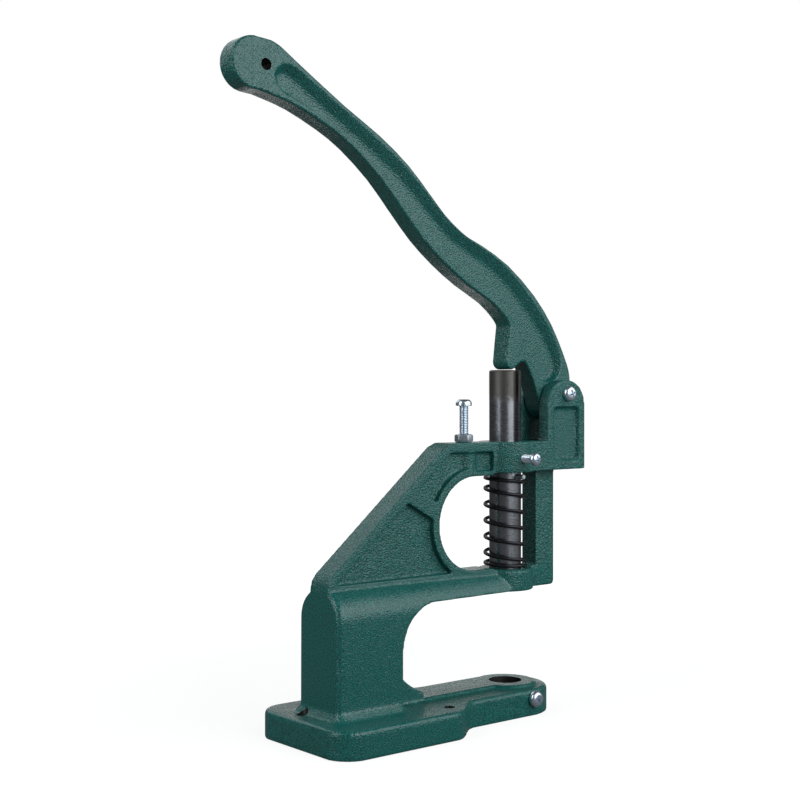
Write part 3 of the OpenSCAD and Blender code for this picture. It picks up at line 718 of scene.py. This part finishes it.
def screw_piece(name, thread, pitch, place, tree, length, dog=0.0):
    """A threaded screw, moved to the matrix that places its head's underside.

    The length is that of the thread, and the dog that of a plain tip after it."""
    head = screw_head(name, thread)
    parts = [grow(name + "_thread", tree, {
        "Radius": thread / 2 * MM, "Pitch": pitch, "Length": length * MM})]
    if dog:
        tip, root = -length - dog, -length + 0.2
        profile = [(0, tip), (1.7, tip), (2.0, tip + 0.3), (2.0, root), (0, root)]
        parts.append(object_from(lathe("dog", profile, sides=32), "dog"))
    join(head, parts)
    head.data.transform(place)
    shade(head, crease=32)
    return head


def from_side(x, y, z):
    """Places what points down so that it points from the guide screw's side to the middle."""
    return Matrix.Translation(Vector((x, y, z)) * MM) @ Matrix.Rotation(math.radians(90), 4, "X")


class PRESS_OT_screws(Operator):
    """Makes the four screws with their threads, pan heads and cross recesses"""

    bl_idname = "press.screws"
    bl_label = "Screws"

    def execute(self, context):
        screws = settings("screws")
        material = zinc_plate("blue_zinc_plate", roughness=0.28)
        tree = thread_tree(material)
        upright = Matrix.Translation(Vector((STOP["x"], 0, STOP["head"])) * MM)
        guide = from_side(0, -GUIDE_SCREW["head"], GUIDE_SCREW["z"])
        clamp = from_side(0, -CLAMP["head"], CLAMP["z"])
        pivot = from_side(PIVOT["x"], -EAR["outside"], PIVOT["z"])
        made = [
            (screw_piece("stop_screw_threaded", M6, screws.pitch, upright, tree, length=40.75),
             "stop_screw", "stop_screw"),
            (screw_piece("guide_screw_threaded", M5, screws.guide_pitch, guide, tree,
                         length=15.4, dog=2.7), "frame", "guide_screw"),
            (screw_piece("die_clamp_screw_threaded", M6, screws.pitch, clamp, tree,
                         length=15.75), "die_clamp_screw", "die_clamp_screw"),
            (screw_piece("pivot_screw_threaded", M6, screws.pitch, pivot, tree, length=37.6),
             "frame", "pivot_screw")]
        for piece, body, node in made:
            finish_piece(piece, [material], body, node)
        return {"FINISHED"}


class PRESS_OT_nuts(Operator):
    """Makes the lock nut of the stop screw and the nut of the pivot screw"""

    bl_idname = "press.nuts"
    bl_label = "Nuts"

    def execute(self, context):
        material = zinc_plate("blue_zinc_plate_nuts", roughness=0.3)
        for node, body in (("stop_nut", "stop_nut"), ("pivot_nut", "frame")):
            nut = merged_copy(node, node + "_plated")
            bevel = nut.modifiers.new("Soft edges", "BEVEL")
            bevel.width = 0.15 * MM
            bevel.segments = 2
            bevel.limit_method = "ANGLE"
            bevel.angle_limit = math.radians(50)
            baked(nut)
            shade(nut, crease=30)
            finish_piece(nut, [material], body, node)
        return {"FINISHED"}


# ---- Stage

# The level direction in which the camera looks
VIEW = (0.635, 0.773, 0.0)
WHITE = (1, 1, 1, 1)


def area_light(name, power, across, place):
    """A slightly cool lamp that faces the middle of the press."""
    middle = Vector((-0.05, 0, 0.18))
    lamp = bpy.data.lights.new(name, "AREA")
    lamp.energy = power
    lamp.color = (0.92, 0.97, 1.0)
    lamp.shape = "RECTANGLE"
    lamp.size, lamp.size_y = across
    holder = object_from(lamp, name)
    holder.location = place
    holder.rotation_euler = (middle - holder.location).to_track_quat("-Z", "Y").to_euler()


def behind_press(tree, place):
    """1 for a place or direction behind the press as the camera sees it, and 0 elsewhere."""
    way = add(tree, "ShaderNodeVectorMath", {0: place}, operation="NORMALIZE")
    along = add(tree, "ShaderNodeVectorMath", {0: way, 1: VIEW}, operation="DOT_PRODUCT")
    return add(tree, "ShaderNodeMapRange", {"Value": along, "From Min": 0.92, "From Max": 0.985},
               interpolation_type="SMOOTHSTEP")


def seen_as(tree, in_camera, in_mirrors):
    """A strength that the camera sees, and another that metal and glass show."""
    rays = add(tree, "ShaderNodeLightPath").outputs
    mirror = add(tree, "ShaderNodeMath", {
        0: rays["Is Glossy Ray"], 1: rays["Is Transmission Ray"]}, operation="MAXIMUM")
    mirrored = add(tree, "ShaderNodeMath", {0: mirror, 1: in_mirrors}, operation="MULTIPLY")
    return add(tree, "ShaderNodeMath", {
        0: rays["Is Camera Ray"], 1: in_camera, 2: mirrored}, operation="MULTIPLY_ADD")


def paper_floor(stage):
    """Matt paper, which keeps the press's shadow and glows white further away."""
    material, tree, place = new_material("white_paper_floor")
    away = add(tree, "ShaderNodeVectorMath", {0: place}, operation="LENGTH")
    seen = add(tree, "ShaderNodeMapRange", {
        "Value": away, "From Min": 0.25, "From Max": 0.6,
        "To Min": stage.paper_glow, "To Max": 1.0})
    beyond = add(tree, "ShaderNodeMapRange", {"Value": away, "From Min": 0.3, "From Max": 0.6})
    mirrored = add(tree, "ShaderNodeMath", {0: beyond, 1: behind_press(tree, place)},
                   operation="MULTIPLY")
    end_material(tree, {
        "Base Color": with_alpha(stage.floor), "Roughness": 0.9, "Specular IOR Level": 0.0,
        "Emission Color": WHITE, "Emission Strength": seen_as(tree, seen, mirrored)})
    return material


def studio_world(stage):
    """A white backdrop, a dim room on the camera's side, and an even light on matt surfaces."""
    world = bpy.data.worlds.new("studio")
    world.use_nodes = True
    tree = world.node_tree
    tree.nodes.clear()
    towards = add(tree, "ShaderNodeTexCoord").outputs["Generated"]
    height = add(tree, "ShaderNodeSeparateXYZ", {"Vector": towards}).outputs["Z"]
    # The backdrop fades upwards, where the studio is dark
    low = add(tree, "ShaderNodeMapRange", {"Value": height, "From Min": 0.30, "From Max": 0.06},
              interpolation_type="SMOOTHSTEP")
    white = add(tree, "ShaderNodeMath", {0: behind_press(tree, towards), 1: low},
                operation="MULTIPLY")
    mirrored = add(tree, "ShaderNodeMath", {0: white, 1: stage.room}, operation="MAXIMUM")
    rays = add(tree, "ShaderNodeLightPath").outputs
    matt = add(tree, "ShaderNodeMath", {0: rays["Is Diffuse Ray"], 1: stage.haze},
               operation="MULTIPLY")
    strength = add(tree, "ShaderNodeMath", {0: seen_as(tree, 1.0, mirrored), 1: matt},
                   operation="MAXIMUM")
    sky = add(tree, "ShaderNodeBackground", {"Color": WHITE, "Strength": strength})
    add(tree, "ShaderNodeOutputWorld", {"Surface": sky})
    return world


class PRESS_OT_stage(Operator):
    """Makes the pale floor, the soft lights and the camera"""

    bl_idname = "press.stage"
    bl_label = "Stage"

    def execute(self, context):
        stage = settings("stage")
        scene = context.scene
        scene.view_settings.view_transform = "Standard"
        work = bmesh.new()
        bmesh.ops.create_grid(work, x_segments=1, y_segments=1, size=30)
        floor = object_from(mesh_from(work, "floor"), "floor")
        floor.location.z = -0.2 * MM
        floor.data.materials.append(paper_floor(stage))
        scene.world = studio_world(stage)

        area_light("key", stage.key_power, across=(1.0, 0.95), place=(0.03, -1.11, 0.63))
        area_light("left", stage.left_power, across=(0.45, 1.3), place=(-1.14, 0.10, 0.69))
        area_light("right", stage.right_power, across=(0.8, 1.2), place=(0.75, -0.745, 0.70))
        area_light("back", stage.back_power, across=(1.0, 0.8), place=(-0.05, 1.02, 0.80))

        lens = bpy.data.cameras.new("camera")
        lens.lens = 63
        lens.sensor_width = 36
        lens.shift_y = -0.015
        lens.clip_start = 0.01
        lens.clip_end = 100
        camera = object_from(lens, "camera")
        camera.location = (-0.608, -0.6364, 0.2006)
        camera.rotation_euler = (math.radians(90), 0, math.radians(-39.4))
        scene.camera = camera
        return {"FINISHED"}


class PRESS_PT_panel(Panel):
    """Lists the sizes, the finishes and the pieces of the press"""

    bl_idname = "PRESS_PT_panel"
    bl_label = "Snap button press"
    bl_space_type = "VIEW_3D"
    bl_region_type = "UI"
    bl_category = "Press"

    def draw(self, context):
        for label, group in GROUPS.items():
            box = self.layout.box()
            box.label(text=label.capitalize())
            for name in group.__annotations__:
                box.prop(settings(label), name)
        for operator in OPERATORS:
            self.layout.operator(operator.bl_idname)


GROUPS = {"casting": CastingSettings, "screws": ScrewSettings, "spring": SpringSettings,
          "finish": FinishSettings, "stage": StageSettings}
OPERATORS = [PRESS_OT_casting, PRESS_OT_lever, PRESS_OT_plunger, PRESS_OT_spring,
             PRESS_OT_screws, PRESS_OT_nuts, PRESS_OT_stage]


def register():
    for kind in [*GROUPS.values(), *OPERATORS, PRESS_PT_panel]:
        bpy.utils.register_class(kind)
    for label, group in GROUPS.items():
        setattr(bpy.types.Scene, "press_" + label, PointerProperty(type=group))


def unregister():
    for label in GROUPS:
        delattr(bpy.types.Scene, "press_" + label)
    for kind in [PRESS_PT_panel, *reversed(OPERATORS), *GROUPS.values()]:
        bpy.utils.unregister_class(kind)


def main():
    register()
    bpy.ops.press.casting()
    bpy.ops.press.lever()
    bpy.ops.press.plunger()
    bpy.ops.press.spring()
    bpy.ops.press.screws()
    bpy.ops.press.nuts()
    bpy.ops.press.stage()


if __name__ == "__main__":
    main()
